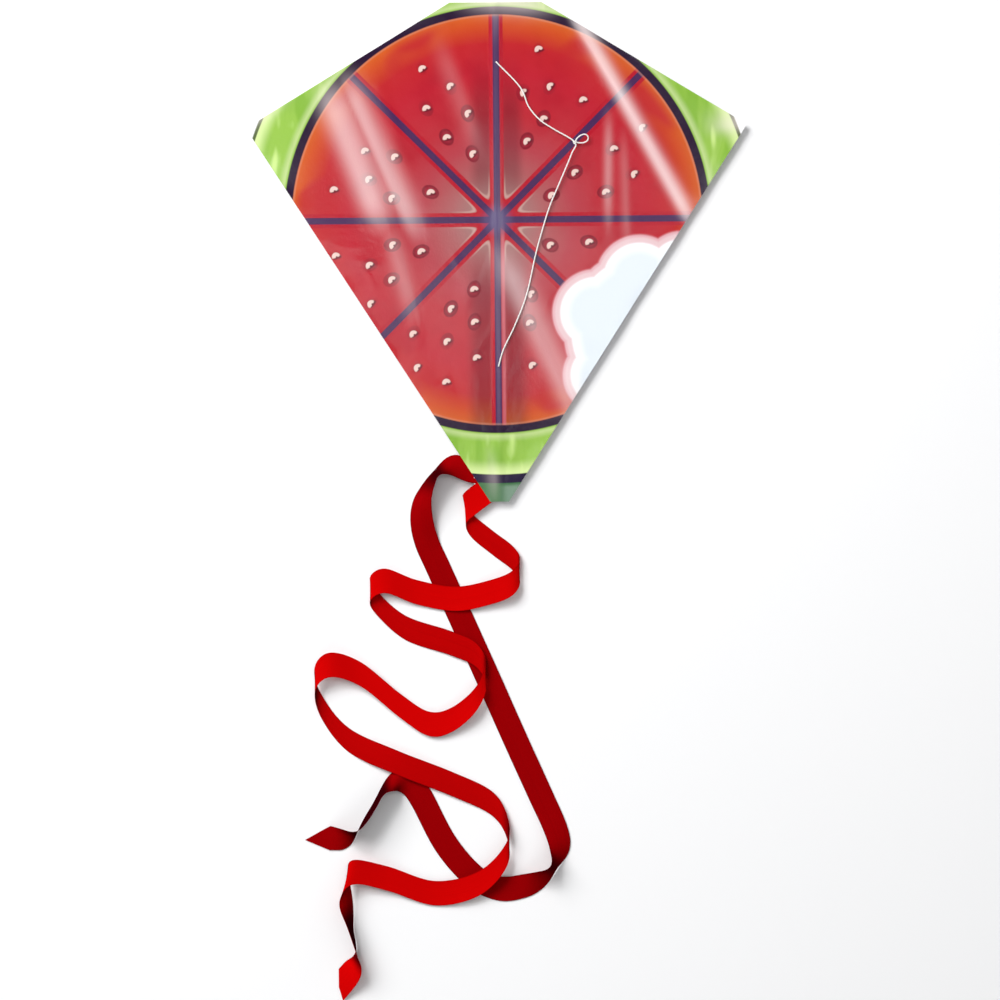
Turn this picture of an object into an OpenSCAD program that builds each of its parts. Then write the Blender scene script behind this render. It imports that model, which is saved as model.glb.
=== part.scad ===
// Diamond kite: a printed film sail, a spine rod, a cross spar in two halves, a string bridle
// and two ribbon tails. It lies on its back with the printed face up and its nose towards +Y.
// The origin is on the floor, under the middle of the sail.

/* [Sail] */
// Width of the sail from corner to corner
sail_w = 590; // [520:2:660]
// Length of the sail from nose to tail
sail_l = 588; // [540:2:660]
// How far the corners lie below the nose
shoulder_drop = 146; // [130:1:160]
// Width of the cut-off nose
nose_w = 108; // [60:1:160]
// Width of the cut-off tail
tail_w = 22; // [16:1:40]
// Thickness of the sail, thicker than real film so that it is a firm solid
film_t = 0.5; // [0.3:0.1:0.8]

/* [Frame] */
// Diameter of the spine rod and of both halves of the cross spar
rod_d = 4; // [3:0.5:4.5]
// Wall of the end caps, the hub and the flexible sleeves
cap_wall = 1.5; // [1:0.1:2]
// Length of each end cap
cap_len = 20; // [14:1:28]
// Length of the hub along the spine
hub_len = 36; // [24:1:50]
// Length of each flexible sleeve between the hub and a spar half
sleeve_len = 28; // [20:1:40]

/* [Bridle] */
// Height of the upper bridle hole above the middle of the sail
upper_hole_y = 224; // [200:1:240]
// Height of the lower bridle hole, negative because it is below the middle
lower_hole_y = -135; // [-160:1:-110]
// Diameter of the bridle string
string_d = 1.8; // [1:0.1:2]
// Outer diameter of the tow loop
loop_d = 12; // [9:0.5:16]

/* [Tails] */
// Width of both ribbons
ribbon_w = 29; // [20:1:30]
// Thickness of both ribbons, thicker than real ribbon so that it is a firm solid
ribbon_t = 0.5; // [0.3:0.1:0.6]

/* [Hidden] */
$fn = 48;

nose_y = sail_l / 2;
tail_y = -sail_l / 2;
corner_x = sail_w / 2;
spar_y = nose_y - shoulder_drop;

rod_r = rod_d / 2;
grip_r = rod_r - 0.02;            // bore that grips a rod
cap_r = rod_r + cap_wall;
pocket_t = 0.7;                   // lower layer of a pocket, which lies on the floor
rod_z = pocket_t + cap_r;
ribbon_gap = 0.9;                 // room above the caps where the ribbon ends are held
film_z = rod_z + cap_r + ribbon_gap;
film_top = film_z + film_t;

ridge_w = 12;                     // strip of the sail over the spine
tail_zone = 59;                   // length of the tail end that stays with the spine
fold_gap = 0.3;                   // clearance between the strip and the wing panels
tip_inset = 7;                    // from a corner of the sail to the end of its cap
end_inset = 1.5;                  // from the nose or tail edge to the end of its cap

pocket_w = 11;
pocket_len = 31;
slot_w = 2 * cap_r + 0.2;
peg_len = 5.5;                    // hub peg, measured from the spine
sleeve_x = 8.2;                   // inner end of a sleeve, clear of the peg as the wing bends
spar_x = 11;                      // inner end of a spar half

string_r = string_d / 2;
hole_r = 1.2;
stub_r = 0.7;
patch_r = 5.5;
patch_t = 0.3;
tie_r = rod_r + string_r + 0.05;
bridle_z = film_top + 1.5;        // height of the line that the bridle swings about
knot_r = 2.2;
knot_at = [92, 128, 13];
loop_at = [98, 130.5, 13];

tape_x = -30;
tape_size = [23.5, 26, 0.4];

// Bridle string from the upper hole to the lower one: x, y, z
bridle_route = [
  [0, upper_hole_y, bridle_z], [28, 194, 11], [38, 171, 11.4], [51, 155, 12], [67, 144, 12.5],
  knot_at, [88, 114, 13], [73, 79, 12], [63, 56, 11.5], [55, 32, 11],
  [45, -3, 11], [34, -50, 11], [20, -86, 10.8], [6, -115, bridle_z], [0, lower_hole_y, bridle_z]
];

// Ribbon routes, measured from the middle of the tail edge: x, y, z, heading of the width, tilt.
// The heading is the direction of the ribbon's width seen from above, in degrees from +X.
// The tilt lifts that side of the ribbon: 0 lies flat and 90 stands on edge.
long_route = [
  [-11, 16, 8, 131, 0], [-34, -1, 7.5, 118, 0], [-41, -11, 4.5, 95, 0], [-34, -27, 1, 90, 0],
  [-8, -49, 0.8, 90, 0], [14, -66, 2, 90, 0], [23, -81, 7, 90, 0], [14, -96, 12, 90, 0],
  [-10, -106, 8, 90, 0], [-52, -114, 3, 90, 0], [-98, -106, 4, 90, 0], [-135, -92, 11, 90, 0],
  [-153, -101, 9, 90, 0], [-146, -118, 2.5, 90, 0], [-112, -148, 0.8, 90, 0],
  [-60, -166, 2.5, 90, 0], [-30, -180, 4, 90, 0], [-18, -203, 9, 90, 0], [-30, -232, 13, 90, 0],
  [-58, -256, 7, 90, 0], [-86, -261, 4, 90, 0], [-120, -239, 4, 90, 0], [-165, -202, 8, 90, 0],
  [-201, -190, 17, 90, 0], [-219, -207, 12, 90, 0], [-212, -240, 2.5, 90, 0],
  [-180, -280, 0.8, 90, 0], [-122, -307, 6, 90, 0], [-60, -332, 3, 90, 0], [-12, -356, 1.5, 90, 0],
  [6, -386, 6, 90, 0], [4, -416, 14, 90, 0], [-28, -449, 9, 90, 0], [-80, -461, 2.5, 90, 0],
  [-135, -443, 7, 90, 0], [-176, -434, 16, 90, 0], [-186, -453, 15, 65, -35],
  [-180, -496, 15.3, 0, -78], [-173, -530, 15.3, -10, -95], [-179, -551, 8.5, -38, -150],
  [-201, -578, 0.8, -47, -180]
];
short_route = [
  [-22, 35, 7.3, 95, 0], [-38, 38, 7.3, 92, 0], [-56, 43, 9, 92, -35], [-72, 36, 14.8, 125, -72],
  [-83, 21, 14, 165, -62], [-91, 2, 11, 180, -40], [-92, -21, 6, 185, -20], [-86, -48, 1.5, 192, -3],
  [-72, -80, 0.6, 200, 0], [-23, -191, 0.6, 202, 0], [17, -283, 0.6, 204, 0], [45, -346, 1, 200, 2],
  [62, -385, 4, 190, 12], [67, -409, 9, 176, 35], [60, -430, 14.5, 145, 70], [44, -445, 10, 115, 40],
  [22, -454, 2.8, 95, 8], [-6, -456, 0.6, 88, 0], [-36, -440, 0.6, 60, 0], [-68, -402, 0.6, 40, 0],
  [-96, -348, 0.6, 38, 0], [-111, -330, 2, 60, -5], [-125, -327, 9, 85, -35],
  [-139, -337, 14.5, 120, -72], [-150, -356, 15, 140, -78], [-160, -372, 15, 145, -80],
  [-171, -386, 15, 130, -95], [-187, -395, 8, 105, -150], [-206, -395, 1, 95, -180],
  [-233, -397, 0.6, 90, -180]
];

// Unit vector of v
function unit(v) = v / norm(v);

// Direction of a route at point i
function heading(pts, i) = unit(pts[min(i + 1, len(pts) - 1)] - pts[max(i - 1, 0)]);

// Centre points of a ribbon route in the kite's own frame
function ribbon_centres(route) = [for (r = route) [r[0], r[1] + tail_y, r[2]]];

// Direction of a ribbon's width for a heading and a tilt
function width_dir(psi, tau) = [cos(psi) * cos(tau), sin(psi) * cos(tau), sin(tau)];

// Four corners of a ribbon's section at centre c, with the width along w and the thickness along n
function strip_ring(c, w, n) = [
  c + w * ribbon_w / 2 + n * ribbon_t / 2, c - w * ribbon_w / 2 + n * ribbon_t / 2,
  c - w * ribbon_w / 2 - n * ribbon_t / 2, c + w * ribbon_w / 2 - n * ribbon_t / 2
];

// Ring of a round string at point i, with the given number of sides
function string_ring(pts, i, sides) =
  let (t = heading(pts, i), a = unit(cross(t, [0, 0, 1])), b = cross(a, t))
  [for (k = [0:sides - 1]) pts[i] + string_r * (a * cos(360 * k / sides) + b * sin(360 * k / sides))];

// Closed skin through a list of rings that all have the same number of points. Opposite sides of
// a ring are split on matching diagonals, so that a flat strip stays evenly thick where it twists.
module skin(rings) {
  m = len(rings[0]);
  n = len(rings);
  sides = [
    for (i = [0:n - 2], j = [0:m - 1])
      let (a = i * m + j, b = i * m + (j + 1) % m)
      each j < m / 2 ? [[a, b, b + m], [a, b + m, a + m]] : [[a, b, a + m], [b, b + m, a + m]]
  ];
  start_cap = [for (j = [m - 1:-1:0]) j];
  end_cap = [for (j = [0:m - 1]) (n - 1) * m + j];
  polyhedron([for (r = rings) each r], concat([start_cap], sides, [end_cap]));
}

module ribbon(route) {
  pts = ribbon_centres(route);
  skin([
    for (i = [0:len(pts) - 1])
      let (w = width_dir(route[i][3], route[i][4]), n = unit(cross(heading(pts, i), w)))
      strip_ring(pts[i], w, n)
  ]);
}

// Outline of the whole sail
module sail_outline() {
  polygon([
    [-nose_w / 2, nose_y], [nose_w / 2, nose_y], [corner_x, spar_y],
    [tail_w / 2, tail_y], [-tail_w / 2, tail_y], [-corner_x, spar_y]
  ]);
}

module bridle_holes() {
  for (y = [upper_hole_y, lower_hole_y]) translate([0, y]) circle(hole_r);
}

// One wing panel of the sail, on the side that the sign gives
module wing_panel(side) {
  inner_x = ridge_w / 2 + fold_gap;
  low_y = tail_y + tail_zone + fold_gap;
  translate([0, 0, film_z]) linear_extrude(film_t) intersection() {
    sail_outline();
    translate([side > 0 ? inner_x : -corner_x, low_y]) square([corner_x - inner_x, nose_y - low_y]);
  }
}

// Rod along +Y or +X: a cylinder from a to b, turned by rot
module rod(a, b, r, rot) {
  rotate(rot) translate([0, 0, a]) cylinder(h = b - a, r = r);
}

along_y = [-90, 0, 0];
along_x = [0, 90, 0];

// End cap with its mouth at the origin and its round closed end towards +Z
module end_cap() {
  difference() {
    union() {
      cylinder(h = cap_len - cap_r, r = cap_r);
      translate([0, 0, cap_len - cap_r]) sphere(cap_r);
    }
    translate([0, 0, -1]) cylinder(h = cap_len - cap_r + 1, r = grip_r);
  }
}

// Pocket channel that holds an end cap, lying along +Y with its closed end at end_y
module pocket(end_y, cap_end_y) {
  difference() {
    linear_extrude(rod_z + cap_r) intersection() {
      children();
      translate([-pocket_w / 2, end_y - pocket_len]) square([pocket_w, pocket_len]);
    }
    translate([-slot_w / 2, end_y - pocket_len - 1, pocket_t])
      cube([slot_w, cap_end_y + 0.2 - (end_y - pocket_len - 1), 2 * cap_r + 1]);
  }
}

module bridle_patch(y) {
  translate([0, y, film_z - patch_t]) linear_extrude(patch_t) difference() {
    circle(patch_r);
    circle(hole_r);
  }
}

// Two turns of string round the spine and a short stub up through the hole in the sail
module bridle_tie(y) {
  stub_low = rod_z + tie_r;
  translate([0, y, 0]) {
    for (s = [-1, 1]) translate([0, s * string_r * 0.95, rod_z])
      rotate(along_y) rotate_extrude() translate([tie_r, 0]) circle(string_r);
    translate([0, 0, stub_low]) cylinder(h = film_top + 0.5 - stub_low, r = stub_r);
  }
}

module tip_cap(side) {
  translate([side * (corner_x - tip_inset - cap_len), spar_y, rod_z])
    rotate([0, side * 90, 0]) end_cap();
}

module tip_pocket(side) {
  translate([0, spar_y, 0]) rotate([0, 0, -side * 90])
    pocket(corner_x - tip_inset + 2.5, corner_x - tip_inset)
      rotate([0, 0, side * 90]) translate([0, -spar_y]) sail_outline();
}

module flexible_sleeve(side) {
  translate([side > 0 ? 0 : -2 * sleeve_x - sleeve_len, spar_y, rod_z]) difference() {
    rod(sleeve_x, sleeve_x + sleeve_len, cap_r, along_x);
    rod(sleeve_x - 1, sleeve_x + sleeve_len + 1, grip_r, along_x);
  }
}

module spar_half(side) {
  length = corner_x - tip_inset - cap_r - spar_x;
  translate([side > 0 ? spar_x : -spar_x - length, spar_y, rod_z]) rod(0, length, rod_r, along_x);
}

module sail_centre() {
  low_y = tail_y + tail_zone;
  color("crimson") translate([0, 0, film_z]) linear_extrude(film_t) difference() {
    intersection() {
      sail_outline();
      union() {
        translate([-ridge_w / 2, tail_y]) square([ridge_w, sail_l]);
        translate([-corner_x, tail_y]) square([sail_w, low_y - tail_y]);
      }
    }
    bridle_holes();
  }
}

module sail_left() { color("crimson") wing_panel(-1); }
module sail_right() { color("crimson") wing_panel(1); }

module spine_rod() {
  color("ivory") translate([0, 0, rod_z])
    rod(tail_y + end_inset + cap_r, nose_y - end_inset - cap_r, rod_r, along_y);
}

module nose_cap() {
  color("white") translate([0, nose_y - end_inset - cap_len, rod_z]) rotate(along_y) end_cap();
}

module tail_cap() {
  color("white") translate([0, tail_y + end_inset + cap_len, rod_z]) rotate(-along_y) end_cap();
}

module nose_pocket() {
  color("whitesmoke") pocket(nose_y - 0.5, nose_y - end_inset) sail_outline();
}

module tail_pocket() {
  color("whitesmoke") rotate([0, 0, 180]) pocket(-tail_y - 0.5, -tail_y - end_inset)
    rotate([0, 0, 180]) sail_outline();
}

module centre_hub() {
  color("black") translate([0, spar_y, rod_z]) difference() {
    union() {
      rod(-hub_len / 2, hub_len / 2, cap_r, along_y);
      rod(-peg_len, peg_len, rod_r, along_x);
    }
    rod(-hub_len / 2 - 1, hub_len / 2 + 1, grip_r, along_y);
  }
}

module left_spar() { color("ivory") spar_half(-1); }
module right_spar() { color("ivory") spar_half(1); }
module left_sleeve() { color("dimgray") flexible_sleeve(-1); }
module right_sleeve() { color("dimgray") flexible_sleeve(1); }
module left_tip_cap() { color("white") tip_cap(-1); }
module right_tip_cap() { color("white") tip_cap(1); }
module left_pocket() { color("whitesmoke") tip_pocket(-1); }
module right_pocket() { color("whitesmoke") tip_pocket(1); }
module upper_bridle_patch() { color("lightgray") bridle_patch(upper_hole_y); }
module lower_bridle_patch() { color("lightgray") bridle_patch(lower_hole_y); }
module upper_bridle_tie() { color("white") bridle_tie(upper_hole_y); }
module lower_bridle_tie() { color("white") bridle_tie(lower_hole_y); }

module bridle_line() {
  last = len(bridle_route) - 1;
  color("white") skin([for (i = [0:last]) string_ring(bridle_route, i, 8)]);
}

module bridle_knot() {
  color("white") translate(knot_at) sphere(knot_r);
}

module tow_loop() {
  color("white") translate(loop_at) rotate_extrude() translate([loop_d / 2 - string_r, 0]) circle(string_r);
}

module tail_tape() {
  color("lightgray") translate([tape_x, tail_y + 18, film_z - 2]) cube(tape_size);
}

module long_ribbon() { color("red") ribbon(long_route); }
module short_ribbon() { color("darkred") ribbon(short_route); }

sail_centre();
sail_left();
sail_right();
spine_rod();
nose_cap();
tail_cap();
nose_pocket();
tail_pocket();
centre_hub();
left_spar();
left_sleeve();
left_tip_cap();
left_pocket();
right_spar();
right_sleeve();
right_tip_cap();
right_pocket();
upper_bridle_patch();
lower_bridle_patch();
upper_bridle_tie();
lower_bridle_tie();
bridle_line();
bridle_knot();
tow_loop();
tail_tape();
long_ribbon();
short_ribbon();
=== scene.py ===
"""Looks of the diamond kite: a printed film sail over rods, a string bridle and two ribbon tails.

Sizes are in metres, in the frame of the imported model, unless a comment says millimetres. The kite
lies on its back on the floor with its printed face up (+Z) and its nose towards +Y.
"""

import math

import bpy
import numpy as np
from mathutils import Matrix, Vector


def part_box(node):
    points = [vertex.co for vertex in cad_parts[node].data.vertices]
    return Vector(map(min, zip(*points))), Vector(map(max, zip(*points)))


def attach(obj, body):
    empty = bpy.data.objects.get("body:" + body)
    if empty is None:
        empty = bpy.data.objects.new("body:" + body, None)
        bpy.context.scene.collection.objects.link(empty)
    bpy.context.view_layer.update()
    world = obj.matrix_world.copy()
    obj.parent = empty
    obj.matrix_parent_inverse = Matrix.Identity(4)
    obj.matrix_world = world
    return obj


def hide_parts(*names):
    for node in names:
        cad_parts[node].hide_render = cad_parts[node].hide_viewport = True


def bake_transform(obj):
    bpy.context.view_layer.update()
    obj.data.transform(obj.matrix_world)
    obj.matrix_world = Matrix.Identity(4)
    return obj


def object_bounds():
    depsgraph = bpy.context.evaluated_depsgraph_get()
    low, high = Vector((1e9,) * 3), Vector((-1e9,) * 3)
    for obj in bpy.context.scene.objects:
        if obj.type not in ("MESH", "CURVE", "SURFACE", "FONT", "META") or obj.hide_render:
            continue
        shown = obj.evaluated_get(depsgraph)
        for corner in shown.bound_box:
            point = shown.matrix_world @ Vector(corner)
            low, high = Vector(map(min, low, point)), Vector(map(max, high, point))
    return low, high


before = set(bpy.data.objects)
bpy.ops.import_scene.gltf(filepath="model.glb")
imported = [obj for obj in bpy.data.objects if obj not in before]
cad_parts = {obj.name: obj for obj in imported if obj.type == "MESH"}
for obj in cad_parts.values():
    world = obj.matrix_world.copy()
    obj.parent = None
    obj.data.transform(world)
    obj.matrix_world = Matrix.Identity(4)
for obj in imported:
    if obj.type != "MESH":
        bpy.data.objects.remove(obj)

cad_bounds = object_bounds()
MM = 0.001


# ----------------------------------------
# Camera
# ----------------------------------------

VIEW_CENTRE = Vector((0.0004, -0.292, 0.0))
VIEW_WIDTH = 1.18
VIEW_HEIGHT = 4.0
VIEW_TURN = math.radians(-0.5)
SENSOR = 36.0


def make_camera():
    data = bpy.data.cameras.new("camera")
    data.sensor_width = SENSOR
    data.lens = SENSOR * VIEW_HEIGHT / VIEW_WIDTH
    camera = bpy.data.objects.new("camera", data)
    camera.location = VIEW_CENTRE + Vector((0, 0, VIEW_HEIGHT))
    camera.rotation_euler = (0, 0, VIEW_TURN)
    bpy.context.scene.collection.objects.link(camera)
    bpy.context.scene.camera = camera


make_camera()


# ----------------------------------------
# Colours and material nodes
# ----------------------------------------

def paint(red, green, blue):
    """Linear colour from the usual 0 to 255 values."""
    def linear(value):
        c = value / 255
        return c / 12.92 if c <= 0.04045 else ((c + 0.055) / 1.055) ** 2.4
    return (linear(red), linear(green), linear(blue), 1.0)


INK = 0.79


def ink(red, green, blue):
    """A printed or dyed colour: a little darker than paint, because the light is bright."""
    return tuple(INK * channel for channel in paint(red, green, blue)[:3]) + (1.0,)


class Field:
    """A number that a material works out at each point. Arithmetic on fields adds Math nodes."""

    def __init__(self, tree, socket):
        self.tree = tree
        self.socket = socket

    def math(self, operation, *others):
        node = self.tree.nodes.new("ShaderNodeMath")
        node.operation = operation
        for place, value in zip(node.inputs, (self,) + others):
            connect(self.tree, value, place)
        return Field(self.tree, node.outputs[0])

    def __add__(self, other):
        return self.math("ADD", other)

    def __sub__(self, other):
        return self.math("SUBTRACT", other)

    def __mul__(self, other):
        return self.math("MULTIPLY", other)

    def __truediv__(self, other):
        return self.math("DIVIDE", other)

    def __abs__(self):
        return self.math("ABSOLUTE")

    def ramp(self, start, end):
        """0 before start, 1 after end and smooth between them; start may be above end."""
        node = self.tree.nodes.new("ShaderNodeMapRange")
        node.interpolation_type = "SMOOTHSTEP"
        connect(self.tree, self, node.inputs["Value"])
        node.inputs["From Min"].default_value = start
        node.inputs["From Max"].default_value = end
        return Field(self.tree, node.outputs["Result"])


def connect(tree, value, place):
    if isinstance(value, Field):
        tree.links.new(value.socket, place)
    else:
        place.default_value = value


def length2(a, b):
    return (a * a + b * b).math("SQRT")


def smallest(a, b):
    return a.math("MINIMUM", b)


class Material:
    """A Principled material whose colour is built up in layers."""

    def __init__(self, name, base, **sockets):
        self.data = bpy.data.materials.new(name)
        self.data.use_nodes = True
        self.tree = self.data.node_tree
        self.shader = self.tree.nodes["Principled BSDF"]
        for socket, value in sockets.items():
            self.shader.inputs[socket.replace("_", " ")].default_value = value
        self.top = base
        self.data.diffuse_color = base if isinstance(base, tuple) else (0.8, 0.1, 0.1, 1.0)

    def attribute(self, name):
        node = self.tree.nodes.new("ShaderNodeAttribute")
        node.attribute_name = name
        return node

    def vector(self, name):
        """The three numbers of a vector attribute."""
        parts = self.tree.nodes.new("ShaderNodeSeparateXYZ")
        self.tree.links.new(self.attribute(name).outputs["Vector"], parts.inputs[0])
        return [Field(self.tree, parts.outputs[i]) for i in range(3)]

    def number(self, name):
        return Field(self.tree, self.attribute(name).outputs["Fac"])

    def place(self, scale, attribute=None):
        """Texture position, stretched by scale: the object's own, or a stored one."""
        node = self.tree.nodes.new("ShaderNodeMapping")
        node.inputs["Scale"].default_value = scale
        if attribute:
            source = self.attribute(attribute).outputs["Vector"]
        else:
            source = self.tree.nodes.new("ShaderNodeTexCoord").outputs["Object"]
        self.tree.links.new(source, node.inputs["Vector"])
        return node.outputs["Vector"]

    def noise(self, position, detail=2.0, roughness=0.5):
        node = self.tree.nodes.new("ShaderNodeTexNoise")
        node.inputs["Scale"].default_value = 1.0
        node.inputs["Detail"].default_value = detail
        node.inputs["Roughness"].default_value = roughness
        self.tree.links.new(position, node.inputs["Vector"])
        return Field(self.tree, node.outputs["Fac"])

    def gradient(self, field, stops):
        """A colour that runs through the stops as the field goes from 0 to 1."""
        node = self.tree.nodes.new("ShaderNodeValToRGB")
        elements = node.color_ramp.elements
        while len(elements) < len(stops):
            elements.new(0.5)
        for element, (position, colour) in zip(elements, stops):
            element.position = position
            element.color = colour
        connect(self.tree, field, node.inputs["Fac"])
        self.top = node.outputs["Color"]

    def layer(self, colour, mask, strength=1.0):
        """Lays a colour over what is there, where the mask is 1."""
        node = self.tree.nodes.new("ShaderNodeMix")
        node.data_type = "RGBA"
        factor, below, above = node.inputs["Factor"], node.inputs[6], node.inputs[7]
        connect(self.tree, mask * strength, factor)
        if isinstance(self.top, tuple):
            below.default_value = self.top
        else:
            self.tree.links.new(self.top, below)
        above.default_value = colour
        self.top = node.outputs[2]

    def roughness(self, field, low, high):
        node = self.tree.nodes.new("ShaderNodeMapRange")
        connect(self.tree, field, node.inputs["Value"])
        node.inputs["To Min"].default_value = low
        node.inputs["To Max"].default_value = high
        self.tree.links.new(node.outputs["Result"], self.shader.inputs["Roughness"])

    def bump(self, field, depth):
        """Relief of the surface: depth is in metres for a field that goes from 0 to 1."""
        node = self.tree.nodes.new("ShaderNodeBump")
        node.inputs["Distance"].default_value = depth
        connect(self.tree, field, node.inputs["Height"])
        if self.shader.inputs["Normal"].is_linked:
            before = self.shader.inputs["Normal"].links[0].from_socket
            self.tree.links.new(before, node.inputs["Normal"])
        self.tree.links.new(node.outputs["Normal"], self.shader.inputs["Normal"])

    def done(self):
        base = self.shader.inputs["Base Color"]
        if isinstance(self.top, tuple):
            base.default_value = self.top
        else:
            self.tree.links.new(self.top, base)
        return self.data


# ----------------------------------------
# Meshes
# ----------------------------------------

def add_object(name, vertices, faces, materials):
    mesh = bpy.data.meshes.new(name)
    mesh.from_pydata([tuple(v) for v in vertices], [], faces)
    for material in materials:
        mesh.materials.append(material)
    mesh.update(calc_edges=True)
    piece = bpy.data.objects.new(name, mesh)
    bpy.context.scene.collection.objects.link(piece)
    return piece


def store(mesh, name, values):
    """Keeps a number or a vector at each vertex, for the materials to read."""
    values = np.asarray(values, float)
    if values.ndim == 2:
        mesh.attributes.new(name, "FLOAT_VECTOR", "POINT").data.foreach_set("vector", values.ravel())
    else:
        mesh.attributes.new(name, "FLOAT", "POINT").data.foreach_set("value", values)


def grid_normals(grid):
    along = np.gradient(grid, axis=0)
    across = np.gradient(grid, axis=1)
    normals = np.cross(along, across)
    return normals / np.maximum(np.linalg.norm(normals, axis=2, keepdims=True), 1e-12)


def sheet_piece(name, grid, thickness, materials, attributes):
    """A thin closed sheet from a grid of points. The grid is its front, and its back lies behind it.

    The front's normal is the cross product of the row direction and the column direction. The
    materials are those of the front, the back and the rim.
    """
    rows, columns = grid.shape[:2]
    count = rows * columns
    back = grid - thickness * grid_normals(grid)
    index = np.arange(count).reshape(rows, columns)
    a, b = index[:-1, :-1].ravel(), index[1:, :-1].ravel()
    c, d = index[1:, 1:].ravel(), index[:-1, 1:].ravel()
    front_faces = np.stack([a, b, c, d], axis=1)
    back_faces = front_faces[:, ::-1] + count
    loop = np.concatenate([index[:, 0], index[-1, 1:], index[-2::-1, -1], index[0, -2:0:-1]])
    after = np.roll(loop, -1)
    rim_faces = np.stack([loop, loop + count, after + count, after], axis=1)
    faces = np.concatenate([front_faces, back_faces, rim_faces])
    vertices = np.concatenate([grid.reshape(-1, 3), back.reshape(-1, 3)])
    piece = add_object(name, vertices, faces.tolist(), materials)
    mesh = piece.data
    kinds = np.repeat([0, 1, 2], [len(front_faces), len(back_faces), len(rim_faces)])
    mesh.polygons.foreach_set("material_index", np.minimum(kinds, len(materials) - 1))
    mesh.polygons.foreach_set("use_smooth", kinds < 2)
    on_rim = np.zeros(2 * count, bool)
    on_rim[loop] = True
    on_rim[loop + count] = True
    ends = np.zeros(2 * len(mesh.edges), int)
    mesh.edges.foreach_get("vertices", ends)
    ends = ends.reshape(-1, 2)
    sharp = on_rim[ends[:, 0]] & on_rim[ends[:, 1]]
    mesh.attributes.new("sharp_edge", "BOOLEAN", "EDGE").data.foreach_set("value", sharp)
    for key, values in attributes.items():
        flat = np.asarray(values, float).reshape(count, -1)
        store(mesh, key, np.concatenate([flat, flat]).squeeze())
    return piece


def smooth_route(points, step):
    """Rows every step metres along a smooth curve (Catmull-Rom) through a route's rows.

    The first three numbers of a row are its place. Returns the rows and their distance along.
    """
    p = np.asarray(points, float)
    p = np.vstack([2 * p[0] - p[1], p, 2 * p[-1] - p[-2]])
    t = np.linspace(0, 1, 16, endpoint=False)[:, None]
    dense = []
    for p0, p1, p2, p3 in zip(p, p[1:], p[2:], p[3:]):
        dense.append(0.5 * (2 * p1 + (p2 - p0) * t + (2 * p0 - 5 * p1 + 4 * p2 - p3) * t**2
                            + (3 * p1 - p0 - 3 * p2 + p3) * t**3))
    dense = np.vstack(dense + [p[-2:-1]])
    distance = np.concatenate([[0], np.cumsum(np.linalg.norm(np.diff(dense[:, :3], axis=0), axis=1))])
    wanted = np.linspace(0, distance[-1], max(2, round(distance[-1] / step)) + 1)
    rows = np.stack([np.interp(wanted, distance, column) for column in dense.T], axis=1)
    return rows, wanted


def carried_frames(path, closed=False):
    """A side direction and an up direction at each point, carried along the path without twist."""
    path = np.asarray(path, float)
    if closed:
        along = np.roll(path, -1, axis=0) - np.roll(path, 1, axis=0)
    else:
        along = np.gradient(path, axis=0)
    along /= np.linalg.norm(along, axis=1, keepdims=True)
    side = np.cross(along[0], [0.0, 0.0, 1.0])
    if np.linalg.norm(side) < 1e-3:
        side = np.array([1.0, 0.0, 0.0])
    sides = []
    for direction in along:
        side = side - direction * np.dot(side, direction)
        side = side / np.linalg.norm(side)
        sides.append(side)
    sides = np.array(sides)
    return sides, np.cross(sides, along)


STRANDS = 3
STRAND_DEPTH = 0.13


def string_piece(name, path, radius, material, closed=False, lay_length=0.0055):
    """A twisted string of three strands along a path."""
    path = np.asarray(path, float)
    sides, ups = carried_frames(path, closed)
    ring = 15
    angle = 2 * np.pi * np.arange(ring) / ring
    distance = np.concatenate([[0], np.cumsum(np.linalg.norm(np.diff(path, axis=0), axis=1))])
    if closed:
        whole = distance[-1] + np.linalg.norm(path[0] - path[-1])
        lay_length = whole / max(1, round(whole / lay_length))
    twist = 2 * np.pi * distance / lay_length
    lobes = np.cos(STRANDS * angle[None, :] - twist[:, None])
    radii = radius * (1 - STRAND_DEPTH + STRAND_DEPTH * lobes)
    points = (path[:, None, :] + (radii * np.cos(angle))[:, :, None] * sides[:, None, :]
              + (radii * np.sin(angle))[:, :, None] * ups[:, None, :])
    count = len(path)
    faces = []
    for i in range(count if closed else count - 1):
        for k in range(ring):
            a, b = i * ring + k, i * ring + (k + 1) % ring
            step = ring if i < count - 1 else ring - count * ring
            faces.append((a, b, b + step, a + step))
    if not closed:
        faces.append(tuple(range(ring - 1, -1, -1)))
        faces.append(tuple(range((count - 1) * ring, count * ring)))
    piece = add_object(name, points.reshape(-1, 3), faces, [material])
    piece.data.polygons.foreach_set("use_smooth", [len(f) == 4 for f in faces])
    store(piece.data, "strand", lobes.ravel())
    return piece


# ----------------------------------------
# Routes of the cords, in millimetres, as the CAD source has them
# ----------------------------------------

# Bridle string from the upper hole in the sail to the lower one: x, y, z
BRIDLE_ROUTE = [
    (0, 224, 10.6), (28, 194, 11), (38, 171, 11.4), (51, 155, 12), (67, 144, 12.5),
    (92, 128, 13), (88, 114, 13), (73, 79, 12), (63, 56, 11.5), (55, 32, 11),
    (45, -3, 11), (34, -50, 11), (20, -86, 10.8), (6, -115, 10.6), (0, -135, 10.6),
]

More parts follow.
